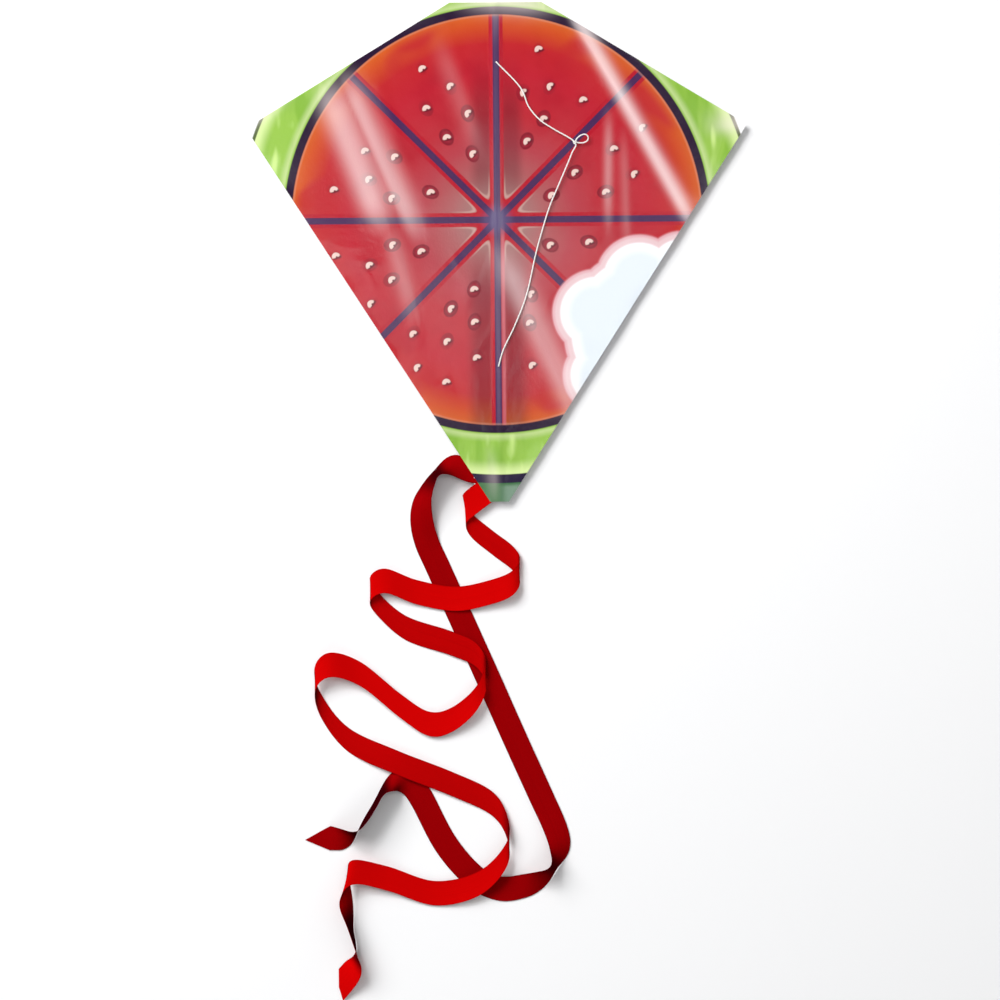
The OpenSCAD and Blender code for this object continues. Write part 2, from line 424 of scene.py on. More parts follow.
# Ribbons: x, y from the tail edge, z, heading of the width from +X in degrees, tilt in degrees
LONG_ROUTE = [
    (-11, 16, 8, 131, 0), (-34, -1, 7.5, 118, 0), (-41, -11, 4.5, 95, 0), (-34, -27, 1, 90, 0),
    (-8, -49, 0.8, 90, 0), (14, -66, 2, 90, 0), (23, -81, 7, 90, 0), (14, -96, 12, 90, 0),
    (-10, -106, 8, 90, 0), (-52, -114, 3, 90, 0), (-98, -106, 4, 90, 0), (-135, -92, 11, 90, 0),
    (-153, -101, 9, 90, 0), (-146, -118, 2.5, 90, 0), (-112, -148, 0.8, 90, 0),
    (-60, -166, 2.5, 90, 0), (-30, -180, 4, 90, 0), (-18, -203, 9, 90, 0), (-30, -232, 13, 90, 0),
    (-58, -256, 7, 90, 0), (-86, -261, 4, 90, 0), (-120, -239, 4, 90, 0), (-165, -202, 8, 90, 0),
    (-201, -190, 17, 90, 0), (-219, -207, 12, 90, 0), (-212, -240, 2.5, 90, 0),
    (-180, -280, 0.8, 90, 0), (-122, -307, 6, 90, 0), (-60, -332, 3, 90, 0), (-12, -356, 1.5, 90, 0),
    (6, -386, 6, 90, 0), (4, -416, 14, 90, 0), (-28, -449, 9, 90, 0), (-80, -461, 2.5, 90, 0),
    (-135, -443, 7, 90, 0), (-176, -434, 16, 90, 0), (-186, -453, 15, 65, -35),
    (-180, -496, 15.3, 0, -78), (-173, -530, 15.3, -10, -95), (-179, -551, 8.5, -38, -150),
    (-201, -578, 0.8, -47, -180),
]
SHORT_ROUTE = [
    (-22, 35, 7.3, 95, 0), (-38, 38, 7.3, 92, 0), (-56, 43, 9, 92, -35), (-72, 36, 14.8, 125, -72),
    (-83, 21, 14, 165, -62), (-91, 2, 11, 180, -40), (-92, -21, 6, 185, -20), (-86, -48, 1.5, 192, -3),
    (-72, -80, 0.6, 200, 0), (-23, -191, 0.6, 202, 0), (17, -283, 0.6, 204, 0), (45, -346, 1, 200, 2),
    (62, -385, 4, 190, 12), (67, -409, 9, 176, 35), (60, -430, 14.5, 145, 70), (44, -445, 10, 115, 40),
    (22, -454, 2.8, 95, 8), (-6, -456, 0.6, 88, 0), (-36, -440, 0.6, 60, 0), (-68, -402, 0.6, 40, 0),
    (-96, -348, 0.6, 38, 0), (-111, -330, 2, 60, -5), (-125, -327, 9, 85, -35),
    (-139, -337, 14.5, 120, -72), (-150, -356, 15, 140, -78), (-160, -372, 15, 145, -80),
    (-171, -386, 15, 130, -95), (-187, -395, 8, 105, -150), (-206, -395, 1, 95, -180),
    (-233, -397, 0.6, 90, -180),
]
TAIL_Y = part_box("sail_centre")[0].y
RIBBON_WIDTH = 29 * MM
RIBBON_THICKNESS = 0.3 * MM
RIBBON_CLEARANCE = 0.5 * MM
RIBBON_STEP = 4 * MM
RIBBON_COLUMNS = 9
STRING_RADIUS = 0.9 * MM
STRING_STEP = 0.9 * MM


# ----------------------------------------
# Ribbons
# ----------------------------------------

def ribbon_route(route):
    """The route in metres, in the kite's frame, with its angles in radians."""
    rows = np.array(route, float)
    rows[:, :3] *= MM
    rows[:, 1] += TAIL_Y
    rows[:, 3:] = np.radians(rows[:, 3:])
    return rows


WEFT_PITCH = 0.0007
WARP_PITCH = 0.0006
CUT_RUN = 0.05


def satin(name, face, shade, painted_turn_shade=0.0):
    """Woven satin ribbon: a fine cross weave, long soft streaks and a darker tight selvedge.

    Painted shade: its colour goes nearly black where it stands on edge and faces away from the light,
    and the last argument says how much painted shade darkens it where it turns over.
    """
    material = Material(name, face, Roughness=0.6, Specular_IOR_Level=0.0)
    along, across, level = material.vector("ribbon")
    streaks = material.noise(material.place((3, 60, 1), "ribbon"), 3.0)
    material.layer(shade, streaks.ramp(0.45, 0.75), 0.35)
    # Painted shade: nearly black where the ribbon stands steeply on edge
    material.layer(ink(36, 0, 4), level.ramp(0.80, 0.25), 0.9)
    # Painted shade where the ribbon turns over and tucks under, as strong as the last argument says
    material.layer(ink(36, 0, 4), material.number("open").ramp(0.62, 0.05), painted_turn_shade)
    edge = abs(across).ramp(0.90, 0.985)
    material.layer(shade, edge, 0.85)
    weft = (along * (2 * math.pi / WEFT_PITCH)).math("SINE")
    warp = (across * (2 * math.pi * RIBBON_WIDTH / 2 / WARP_PITCH)).math("SINE")
    material.bump(weft * 0.5 + warp * 0.35, 0.00003)
    material.bump(edge, 0.00012)
    return material.done()


def ribbon_piece(name, route, materials, cut):
    """A ribbon along its route. cut is how far its far end is cut back at one edge, the middle and
    the other edge. The cut is spread over the last CUT_RUN of the ribbon."""
    rows, distance = smooth_route(ribbon_route(route), RIBBON_STEP)
    whole = distance[-1]
    across = np.linspace(-1, 1, RIBBON_COLUMNS)
    back = np.interp(across, [-1, 0, 1], cut)
    near_end = np.clip(1 - (whole - distance) / CUT_RUN, 0, 1)
    at = distance[:, None] - near_end[:, None] * back[None, :]
    centre = np.stack([np.interp(at, distance, rows[:, k]) for k in range(3)], axis=2)
    heading = np.interp(at, distance, rows[:, 3])
    tilt = np.interp(at, distance, rows[:, 4])
    width = np.stack([np.cos(heading) * np.cos(tilt), np.sin(heading) * np.cos(tilt), np.sin(tilt)],
                     axis=2)
    grid = centre + width * (across * RIBBON_WIDTH / 2)[None, :, None]
    crown = 0.35 * MM * (1 - across**2)
    ripple = 0.25 * MM * np.sin(at / 0.017 + 2 * across[None, :]) * across[None, :]**2
    grid = grid + grid_normals(grid) * (crown[None, :] + ripple)[:, :, None]
    grid[:, :, 2] = np.maximum(grid[:, :, 2], RIBBON_CLEARANCE)
    # How flat the ribbon lies: the satin paints shade where this is small
    level = np.abs(grid_normals(grid)[:, :, 2])
    # How open the ribbon looks from above: small where it turns over, where the satin paints shade
    course = np.gradient(centre[:, :, :2], axis=0)
    course /= np.maximum(np.linalg.norm(course, axis=2, keepdims=True), 1e-9)
    opened = np.abs(course[:, :, 0] * width[:, :, 1] - course[:, :, 1] * width[:, :, 0])
    ribbon = np.stack([at, np.broadcast_to(across, at.shape), level], axis=2)
    piece = sheet_piece(name, grid, RIBBON_THICKNESS, materials,
                        {"ribbon": ribbon, "open": opened})
    return piece, rows[:, :3]


def make_ribbons():
    bright = satin("satin_bright", ink(226, 4, 5), ink(196, 2, 4))
    # Painted shade: the long ribbon's front is a darker copy of its back, with painted shade at its
    # turns, for the runs that lie low in shade
    shaded_copy = satin("satin_shaded_copy", ink(204, 4, 6), ink(156, 1, 5), 0.9)
    deep = satin("satin_deep", ink(166, 2, 7), ink(128, 0, 6), 0.6)
    long_ribbon, path = ribbon_piece("long_ribbon_satin", LONG_ROUTE, [shaded_copy, bright, bright],
                                     (0.002, 0.010, 0.026))
    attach(long_ribbon, "frame")
    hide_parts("long_ribbon")
    short_ribbon, path = ribbon_piece("short_ribbon_satin", SHORT_ROUTE, [deep, deep, deep],
                                      (0.032, 0.0, 0.028))
    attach(short_ribbon, "frame")
    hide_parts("short_ribbon")


# ----------------------------------------
# Bridle
# ----------------------------------------

def white_string():
    """Twisted polyester string, with painted shade in the grooves between its strands."""
    material = Material("string_white", paint(250, 249, 246), Roughness=0.7, Sheen_Weight=0.4)
    # Painted shade: grey in the grooves between the strands
    material.layer(paint(196, 192, 188), material.number("strand").ramp(0.0, -0.9), 0.7)
    fuzz = material.noise(material.place((2500, 2500, 2500)), 2.0)
    material.layer(paint(252, 251, 248), fuzz.ramp(0.5, 0.8), 0.5)
    material.bump(fuzz, 0.00006)
    return material.done()


def closed_loop(centre, long_half, short_half, turn, count):
    """Points round an egg-shaped loop, whose narrow end is at the start."""
    t = 2 * np.pi * np.arange(count) / count
    x = -long_half * np.cos(t)
    y = short_half * np.sin(t) * (1 + 0.25 * np.sin(t / 2)**2 - 0.3 * np.cos(t / 2)**2)
    z = 0.9 * MM * np.sin(t)
    c, s = math.cos(turn), math.sin(turn)
    return np.stack([centre[0] + c * x - s * y, centre[1] + s * x + c * y, centre[2] + z], axis=1)


def overhand_knot(centre, size, count=72):
    """Points round a small trefoil knot."""
    t = 2 * np.pi * np.arange(count) / count
    x = np.sin(t) + 2 * np.sin(2 * t)
    y = np.cos(t) - 2 * np.cos(2 * t)
    z = -1.1 * np.sin(3 * t)
    return np.asarray(centre) + size / 3 * np.stack([x, y, z], axis=1)


def make_bridle():
    string = white_string()
    path, _ = smooth_route(np.array(BRIDLE_ROUTE, float) * MM, STRING_STEP)
    line = string_piece("bridle_string", path, STRING_RADIUS, string)
    low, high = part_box("tow_loop")
    middle = (low + high) / 2
    loop_path = closed_loop(middle + Vector((2.5, 1.2, 0)) * MM, 7.6 * MM, 4.6 * MM,
                            math.radians(20), 48)
    loop = string_piece("tow_loop_string", loop_path, STRING_RADIUS, string, closed=True)
    low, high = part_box("bridle_knot")
    knot_path = overhand_knot((low + high) / 2, 1.7 * MM)
    knot = string_piece("bridle_knot_string", knot_path, STRING_RADIUS, string,
                        closed=True, lay_length=0.004)
    for piece, node in ((line, "bridle_line"), (loop, "tow_loop"), (knot, "bridle_knot")):
        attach(piece, "bridle")
        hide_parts(node)
    return string


make_ribbons()
string_material = make_bridle()


# ----------------------------------------
# Sail: its shape
# ----------------------------------------

def node_points(node):
    return np.array([v.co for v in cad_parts[node].data.vertices])


def edge_half(node, y):
    """How far a node reaches towards +X at its nose or tail edge."""
    points = node_points(node)
    return points[np.abs(points[:, 1] - y) < MM, 0].max()


sail_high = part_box("sail_centre")[1]
NOSE_Y = sail_high.y
FILM_Z = sail_high.z
CORNER_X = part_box("sail_right")[1].x
SPAR_Y = (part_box("right_spar")[0].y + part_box("right_spar")[1].y) / 2
TAIL_HALF = edge_half("sail_centre", TAIL_Y)
NOSE_HALF = edge_half("sail_right", NOSE_Y)
FILM_THICKNESS = 0.22 * MM
PRINT_CENTRE = (0.0, 38.0)


def half_width(y):
    return np.interp(y, [TAIL_Y, SPAR_Y, NOSE_Y], [TAIL_HALF, CORNER_X, NOSE_HALF])


def smooth(low, high, value):
    t = np.clip((value - low) / (high - low), 0, 1)
    return t * t * (3 - 2 * t)


def fold(x, y, start, end, left, right, height, fade=30):
    """A soft fold from start to end, all in millimetres: left and right are how wide its flanks
    are, and fade is how far from each end it dies out."""
    run = np.hypot(end[0] - start[0], end[1] - start[1])
    ux, uy = (end[0] - start[0]) / run, (end[1] - start[1]) / run
    along = (x - start[0]) * ux + (y - start[1]) * uy
    across = (x - start[0]) * uy - (y - start[1]) * ux
    width = np.where(across < 0, left, right)
    ends = smooth(-fade, fade, along) * smooth(run + fade, run - fade, along)
    return height * np.exp(-(across / width)**2) * ends


# Folds in the film, in millimetres: start, end, left flank, right flank, height
FOLDS = [
    ((86, 284), (238, 42), 13, 4, 1.1),
    ((92, 262), (240, 24), 3, 7, 0.5),
    ((-185, 205), (-132, 40), 7, 14, 0.6),
    ((-168, 212), (-118, 60), 6, 12, 0.4),
    ((-146, 226), (-104, 90), 6, 11, 0.4),
    ((-132, 60), (-96, -90), 5, 9, 0.4),
    ((130, 170), (128, 20), 6, 6, 0.35),
    ((150, 130), (152, 10), 5, 5, 0.3),
    ((4, 12), (92, -178), 16, 5, 0.7),
    ((-8, 12), (-40, -60), 8, 12, 0.3),
    ((-60, 285), (-30, 180), 6, 8, 0.3),
    ((40, 285), (52, 200), 6, 8, 0.3),
    ((-24, -190), (-8, -280), 5, 5, 0.4),
    ((22, -200), (8, -285), 5, 5, 0.4),
]


def small_creases():
    """Short creases: a crumpled patch on the left, and a few scattered over the sail."""
    dice = np.random.default_rng(11)
    creases = []
    for _ in range(16):
        x, y = dice.normal(-156, 24), dice.normal(-12, 26)
        turn, run = dice.uniform(0, np.pi), dice.uniform(14, 34)
        creases.append(((x, y), (x + run * np.cos(turn), y + run * np.sin(turn)),
                        2.5, dice.uniform(3, 6), dice.uniform(0.05, 0.14)))
    for _ in range(34):
        y = dice.uniform(-260, 280)
        x = dice.uniform(-1, 1) * float(half_width(y * MM)) / MM * 0.92
        turn, run = dice.uniform(0.9, 2.3), dice.uniform(20, 60)
        creases.append(((x, y), (x + run * np.cos(turn), y + run * np.sin(turn)),
                        dice.uniform(3, 6), dice.uniform(3, 9), dice.uniform(0.06, 0.18)))
    return creases


CREASES = small_creases()


RIDGE_HEIGHT = 0.9
RIDGE_WIDTH = 5.5
FILM_SINK = 0.25
SAG = 0.5


def film_height(x, y):
    """Height of the film's face over its own plane, in millimetres, at x, y in millimetres."""
    width = half_width(y * MM) / MM
    share = np.abs(x) / width
    height = RIDGE_HEIGHT * np.exp(-(x / RIDGE_WIDTH)**2) - FILM_SINK
    height = height - SAG * np.sin(np.pi * np.clip(share, 0, 1))**2 * smooth(0, 60, np.abs(x))
    away_from_spine = smooth(4, 12, np.abs(x))
    for start, end, left, right, rise in FOLDS + CREASES:
        fade = min(30.0, 0.45 * math.dist(start, end))
        height = height + away_from_spine * fold(x, y, start, end, left, right, rise, fade)
    to_edge = (1 - share) * width
    flutter = 0.35 * np.sin(y / 19 + 1.3 * np.sign(x)) + 0.2 * np.sin(y / 8.3)
    height = height + flutter * np.exp(-to_edge / 9) * away_from_spine
    swell = 0.22 * np.sin(x / 31 + y / 47) * np.sin(y / 29 - x / 60)
    return height + swell * away_from_spine


# Painted highlights: soft white streaks laid into the film's colour along its folds and edges,
# where they would catch the light: start, end, left, right, strength
HIGHLIGHT_STREAKS = [
    ((88, 290), (228, 34), 9, 7, 0.62),
    ((-176, 200), (-100, 30), 15, 9, 0.40),
    ((-200, 190), (-140, 40), 24, 15, 0.42),
    ((-122, 20), (-100, -70), 9, 12, 0.16),
    ((6, -8), (92, -192), 17, 13, 0.30),
    ((132, 150), (130, 40), 5, 5, 0.22),
    ((150, 130), (152, 10), 4, 6, 0.10),
    ((-30, 302), (60, 296), 16, 16, 0.50),
    ((-292, 150), (-240, 196), 10, 8, 0.30),
    ((262, 146), (292, 150), 16, 10, 0.55),
    ((-8, -245), (-6, -285), 6, 9, 0.22),
    ((-64, 240), (-20, 120), 9, 12, 0.08),
]


def film_painted_highlight(x, y):
    """How strongly the painted highlight streaks whiten the film, from 0 to 1."""
    painted_highlight = np.zeros_like(x)
    for start, end, left, right, strength in HIGHLIGHT_STREAKS:
        painted_highlight = np.maximum(painted_highlight, fold(x, y, start, end, left, right, strength))
    return np.clip(painted_highlight, 0, 1)


# Seeds of the print: distance from the print's centre in millimetres, bearing from +Y in degrees
SEEDS = [
    (199, 334), (167, 341), (156, 328), (130, 345), (114, 329), (83, 340),
    (176, 298), (142, 302), (159, 288), (196, 281), (127, 282), (85, 293),
    (127, 257), (97, 248), (160, 251), (143, 241), (195, 258), (179, 237),
    (86, 199), (118, 208), (123, 193), (167, 217), (155, 203), (164, 189), (198, 209), (200, 198),
    (96, 156), (127, 163), (176, 167), (69, 116), (111, 104),
    (202, 58), (161, 59), (170, 72), (132, 76), (107, 59), (70, 66),
    (207, 14), (169, 22), (174, 36), (153, 12), (131, 25), (99, 21),
]


def seed_field(x, y):
    """At each point: its offset from the nearest seed along x and y and its distance, in
    millimetres, and then how far that seed is turned."""
    nearest = np.full(x.shape, 1e9)
    dx, dy, turn = np.zeros_like(x), np.zeros_like(x), np.zeros_like(x)
    for number, (distance, bearing) in enumerate(SEEDS):
        sx = distance * math.sin(math.radians(bearing))
        sy = distance * math.cos(math.radians(bearing))
        gap = np.hypot(x - sx, y - sy)
        closer = gap < nearest
        nearest = np.where(closer, gap, nearest)
        dx, dy = np.where(closer, x - sx, dx), np.where(closer, y - sy, dy)
        turn = np.where(closer, math.radians(38 + 22 * math.sin(2.7 * number)), turn)
    return np.stack([dx, dy, nearest], axis=2), turn


# ----------------------------------------
# Sail: its print
# ----------------------------------------

DARK_LINE = ink(78, 40, 92)
RING_COLOUR = ink(42, 16, 52)
BORDER_RED = ink(196, 20, 44)
SEED_CREAM = ink(255, 222, 212)
SEED_DARK = ink(136, 12, 38)
WHITE = paint(252, 253, 255)

# Circles of the bite, in millimetres: centre and radius. The last fills the space behind the scallops.
BITE = [
    ((217, -25), 48), ((167, -33), 52), ((115, -72), 51), ((122, -146), 46.5),
    ((177, -95), 100),
]
BITE_BAND = 10.5
FLESH_R = 242
RING_R = 251
RIND_R = 300
OUTER_RING_R = 310


def paint_flesh(m, x, y, r):
    """Eight wedges from dusty pink through crimson to orange, between dark lines, with painted shade
    and highlights by the spine.
    """
    m.gradient(r / 250, [
        (0.10, ink(172, 132, 128)), (0.22, ink(186, 104, 106)), (0.36, ink(194, 66, 78)),
        (0.50, ink(200, 42, 56)), (0.70, ink(204, 30, 50)), (0.83, ink(206, 36, 44)),
        (0.92, ink(222, 84, 36)), (1.0, ink(232, 116, 40)),
    ])
    mottle = m.noise(m.place((0.022, 0.022, 1), "print"), 2.0)
    m.layer(ink(184, 18, 42), mottle.ramp(0.45, 0.75) * r.ramp(40, 130) * r.ramp(225, 190), 0.5)
    blotches = m.noise(m.place((0.011, 0.011, 1), "print"), 1.0)
    m.layer(ink(204, 34, 46), blotches.ramp(0.50, 0.62) * r.ramp(180, 200) * r.ramp(244, 228), 0.8)
    # Painted shade: darker bands either side of the spine, where the film falls away from the ridge
    m.layer(ink(84, 26, 40), abs(abs(x) - 18).ramp(24, 4) * y.ramp(-20, -90), 0.45)
    m.layer(ink(84, 26, 40), abs(abs(x) - 16).ramp(20, 4) * y.ramp(10, 60) * y.ramp(210, 110), 0.42)
    ax, ay = abs(x), abs(y)
    straight = smallest(ax, ay)
    slanting = abs(ax - ay) * math.sqrt(0.5)
    line = smallest(straight, slanting)
    wedge = straight.math("SMOOTH_MIN", slanting, 12.0)
    m.layer(BORDER_RED, wedge.ramp(9.0, 7.6))
    m.layer(ink(226, 182, 172), abs(wedge - 9.2).ramp(1.6, 0.2) * r.ramp(62, 26), 0.7)
    m.layer(DARK_LINE, line.ramp(4.4, 3.3))
    # Painted highlights: a paler band down the spine line, a whiter patch on it near the nose, a pink
    # line just right of it low down and a blue-grey glow at the centre, where the film over the ridge
    # catches the light
    m.layer(ink(112, 92, 128), ax.ramp(3.6, 1.0) * y.ramp(250, 150), 0.45)
    m.layer(ink(150, 130, 150), ax.ramp(6, 1.0) * y.ramp(190, 262), 0.75)
    m.layer(paint(226, 148, 160), abs(x - 6.4).ramp(3.4, 0.6) * y.ramp(10, -30), 0.34)
    m.layer(ink(104, 92, 140), r.ramp(24, 6), 0.75)


def paint_seeds(m, x, y, r):
    """Cream seeds in dark red hollows that are clear near the centre and soft near the rim."""
    dx, dy, gap = m.vector("seed")
    turn = m.number("seed_turn")
    outward = (dx * x + dy * y) / r
    sideways = (dy * x - dx * y) / r
    hollow = length2(outward / 11.0, sideways / 8.4)
    near = r.ramp(185, 120)
    close = gap.ramp(12, 11)
    m.layer(SEED_DARK, hollow.ramp(1.04, 0.86) * near * close, 0.9)
    m.layer(ink(172, 34, 56), hollow.ramp(0.85, 0.5) * near * close, 0.8)
    m.layer(SEED_DARK, hollow.ramp(0.9, 0.2) * close * r.ramp(120, 170), 0.5)
    cos, sin = turn.math("COSINE"), turn.math("SINE")
    u = dx * cos + dy * sin
    v = dy * cos - dx * sin
    bend = u * u * 0.055
    bean = length2(u / 5.2, (v + bend - 0.5) / 3.2)
    notch = length2((u - 0.6) / 1.5, (v + 3.2) / 2.0)
    shade = length2((u - 1.0) / 5.6, (v + bend + 1.3) / 3.6)
    m.layer(ink(96, 8, 34), shade.ramp(1.1, 0.7) * gap.ramp(9, 8), 0.8)
    m.layer(SEED_CREAM, bean.ramp(1.1, 0.8) * notch.ramp(0.7, 1.3) * gap.ramp(9, 8))


def paint_rind(m, x, y, r):
    """The dark ring, the green rind with its softer strokes, and what lies outside it."""
    m.layer(ink(232, 170, 140), r.ramp(238.5, 241), 0.35)
    m.layer(RING_COLOUR, r.ramp(FLESH_R - 1, FLESH_R + 0.6))
    m.layer(ink(164, 212, 84), r.ramp(RING_R - 0.6, RING_R + 1))
    strokes = m.noise(m.place((0.045, 0.012, 1), "print"), 2.0)
    on_rind = r.ramp(RING_R, RING_R + 4)
    m.layer(ink(140, 194, 62), strokes.ramp(0.48, 0.66) * on_rind, 0.75)
    m.layer(paint(214, 240, 150), strokes.ramp(0.44, 0.28) * on_rind, 0.7)
    m.layer(ink(226, 244, 178), r.ramp(RING_R + 12, RING_R + 2) * on_rind, 0.7)
    m.layer(paint(226, 244, 172), r.ramp(RIND_R - 18, RIND_R - 1), 0.8)
    low = y.ramp(-150, -200)
    m.layer(ink(84, 104, 48), r.ramp(RIND_R - 0.6, RIND_R + 0.8))
    m.layer(WHITE, r.ramp(RIND_R + 3, RIND_R + 5))
    m.layer(ink(46, 34, 66), r.ramp(RIND_R - 0.6, RIND_R + 0.8) * low)
    m.layer(ink(74, 128, 78), r.ramp(OUTER_RING_R - 0.6, OUTER_RING_R + 1) * low)
    m.layer(ink(152, 178, 160), r.ramp(OUTER_RING_R, OUTER_RING_R + 6) * low * x.ramp(-4, 12), 0.75)


def paint_bite(m, x, y):
    """A scalloped bite out of the slice: a pink band round a white and pale blue hollow."""
    depth = None
    for (cx, cy), radius in BITE:
        away = length2(x - (cx - PRINT_CENTRE[0]), y - (cy - PRINT_CENTRE[1])) - radius
        depth = away if depth is None else smallest(depth, away)
    m.layer(ink(236, 150, 160), depth.ramp(2.0, 0.0), 0.5)
    m.layer(ink(246, 186, 194), depth.ramp(0.6, -1.2))
    m.layer(ink(255, 222, 226), depth.ramp(-1.0, -5.0), 0.9)
    m.layer(WHITE, depth.ramp(3.0 - BITE_BAND, -1.0 - BITE_BAND))
    m.layer(paint(224, 233, 241), depth.ramp(-10, -26), 0.95)


def printed_film(name, faded):
    """Glossy film with the slice printed on it. faded is how much paler the print is, from 0."""
    m = Material(name, WHITE, Roughness=0.2, Specular_IOR_Level=0.25, Coat_Weight=0.10,
                 Coat_Roughness=0.06)
    x, y, _ = m.vector("print")
    r = length2(x, y)
    paint_flesh(m, x, y, r)
    paint_seeds(m, x, y, r)
    paint_rind(m, x, y, r)
    paint_bite(m, x, y)
    # Painted highlights: the streaks whiten the print along the folds and edges
    m.layer(paint(255, 238, 238), m.number("painted_highlight"))
    if faded:
        m.layer(paint(236, 232, 234), m.noise(m.place((0.05, 0.05, 1), "print")).ramp(-1, 0), faded)
    smears = m.noise(m.place((0.02, 0.035, 1), "print"), 3.0)
    m.roughness(smears, 0.10, 0.28)
    m.bump(m.noise(m.place((0.35, 0.2, 1), "print"), 2.0), 0.00012)
    m.bump(m.noise(m.place((2.2, 2.2, 1), "print"), 1.0), 0.000012)
    return m.done()


def film_edge():
    m = Material("film_edge", paint(232, 226, 224), Roughness=0.35)
    m.layer(paint(190, 150, 150), m.noise(m.place((90, 90, 90))).ramp(0.4, 0.7), 0.4)
    return m.done()


def sail_half(side, name, materials):
    """One half of the film, from the fold over the spine to its edge. side is -1 or 1."""
    rows_above, rows_below, columns = 56, 168, 110
    y = np.concatenate([np.linspace(NOSE_Y, SPAR_Y, rows_above),
                        np.linspace(SPAR_Y, TAIL_Y, rows_below)[1:]]) / MM
    share = np.linspace(0, 1, columns)
    share = 0.45 * share + 0.55 * share**2
    x = side * np.outer(half_width(y * MM) / MM, share)
    y = np.broadcast_to(y[:, None], x.shape)
    z = FILM_Z / MM + film_height(x, y)
    grid = np.stack([x, y, z], axis=2) * MM
    offset_x, offset_y = x - PRINT_CENTRE[0], y - PRINT_CENTRE[1]
    seed, turn = seed_field(offset_x, offset_y)
    attributes = {
        "print": np.stack([offset_x, offset_y, np.zeros_like(x)], axis=2),
        "seed": seed,
        "seed_turn": turn,
        "painted_highlight": film_painted_highlight(x, y),
    }
    if side < 0:
        grid = grid[:, ::-1]
        attributes = {key: value[:, ::-1] for key, value in attributes.items()}
    return sheet_piece(name, grid, FILM_THICKNESS, materials, attributes)


def make_sail():
    materials = [printed_film("film_front", 0.0), printed_film("film_back", 0.38), film_edge()]
    for side, word in ((-1, "left"), (1, "right")):
        film = sail_half(side, f"{word}_film", materials)
        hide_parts(f"sail_{word}", "sail_centre")
        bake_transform(film)


make_sail()


# ----------------------------------------
# Frame behind the sail
# ----------------------------------------

ROD_Z = (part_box("spine_rod")[0].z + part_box("spine_rod")[1].z) / 2
ROD_R = (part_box("spine_rod")[1].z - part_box("spine_rod")[0].z) / 2
CAP_R = (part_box("nose_cap")[1].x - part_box("nose_cap")[0].x) / 2


def finish_nodes(material, *nodes):
    """Gives a material to CAD nodes whose shape stays as it is."""
    for node in nodes:
        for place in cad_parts[node].material_slots:
            place.material = material


def fibreglass(name, scale):
    """Pale rod: fine fibres along its length under clear resin. scale stretches the fibres."""
    m = Material(name, paint(224, 218, 198), Roughness=0.3, Coat_Weight=0.3)
    fibres = m.noise(m.place(scale), 4.0, 0.7)
    m.layer(paint(176, 166, 138), fibres.ramp(0.48, 0.72), 0.6)
    m.roughness(fibres, 0.24, 0.42)
    m.bump(fibres, 0.00004)
    return m.done()


def moulded(name, face, shade, rough, grain):
    """Moulded plastic: a fine grain and faint uneven patches. grain is the depth of the grain."""
    m = Material(name, face, Roughness=rough)
    m.layer(shade, m.noise(m.place((60, 60, 60)), 3.0).ramp(0.4, 0.75), 0.5)
    fine = m.noise(m.place((1800, 1800, 1800)), 2.0)
    m.roughness(fine, rough - 0.06, rough + 0.1)
    m.bump(fine, grain)
    return m.done()


def clear_film(name, weld_lines):
    """Milky clear film. weld_lines adds the heat-seal ribs that run along a pocket's flanges."""
    m = Material(name, paint(226, 229, 231), Roughness=0.3, Coat_Weight=0.3, Coat_Roughness=0.1)
    m.layer(paint(198, 202, 206), m.noise(m.place((120, 120, 120)), 3.0).ramp(0.42, 0.7), 0.45)
    if weld_lines:
        along, across, _ = m.vector("weld")
        ribs = (along * (2 * math.pi / 0.0012)).math("SINE") * abs(across).ramp(0.0052, 0.0060)
        m.layer(paint(244, 246, 247), ribs.ramp(0.0, 1.0), 0.7)
        m.bump(ribs, 0.00012)
    m.bump(m.noise(m.place((400, 400, 400)), 2.0), 0.00010)
    return m.done()


def lathe(name, profile, centre, material, around=48):
    """A solid turned about the X direction through centre: profile is a closed x, radius outline."""
    profile = np.asarray(profile, float)
    angle = 2 * np.pi * np.arange(around) / around
    x = centre[0] + np.repeat(profile[:, 0:1], around, axis=1)
    y = centre[1] + profile[:, 1:2] * np.cos(angle)
    z = centre[2] + profile[:, 1:2] * np.sin(angle)
    count = len(profile)
    faces = []
    for i in range(count):
        for k in range(around):
            a, b = i * around + k, i * around + (k + 1) % around
            c = (i + 1) % count * around + (k + 1) % around
            d = (i + 1) % count * around + k
            faces.append((a, b, c, d))
    piece = add_object(name, np.stack([x, y, z], axis=2).reshape(-1, 3), faces, [material])
    piece.data.polygons.foreach_set("use_smooth", [True] * len(faces))
    return piece


SLEEVE_SPAN = (3.6 * MM, 36.2 * MM)
SLEEVE_RINGS = 41
SLEEVE_GAP = 0.03 * MM
LIP = 0.9 * MM


def make_sleeve(side, word, material):
    """The flexible tube that joins the hub's peg to a spar half, with a rounded lip at each end."""
    start, end = SLEEVE_SPAN
    bore, wall = ROD_R + SLEEVE_GAP, CAP_R - ROD_R
    along = np.linspace(start, end, SLEEVE_RINGS)
    to_end = np.minimum(along - start, end - along)
    outer = bore + wall * (0.55 + 0.4 * np.clip(to_end / LIP, 0, 1)**0.5)
    outside = np.stack([side * along, outer], axis=1)
    inside = np.stack([side * along[::-1], np.full(SLEEVE_RINGS, bore)], axis=1)
    profile = np.concatenate([outside, inside])
    if side > 0:
        profile = profile[::-1]
    sleeve = lathe(f"{word}_flex_sleeve", profile, (0, SPAR_Y, ROD_Z), material)
    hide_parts(f"{word}_sleeve")
    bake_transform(sleeve)


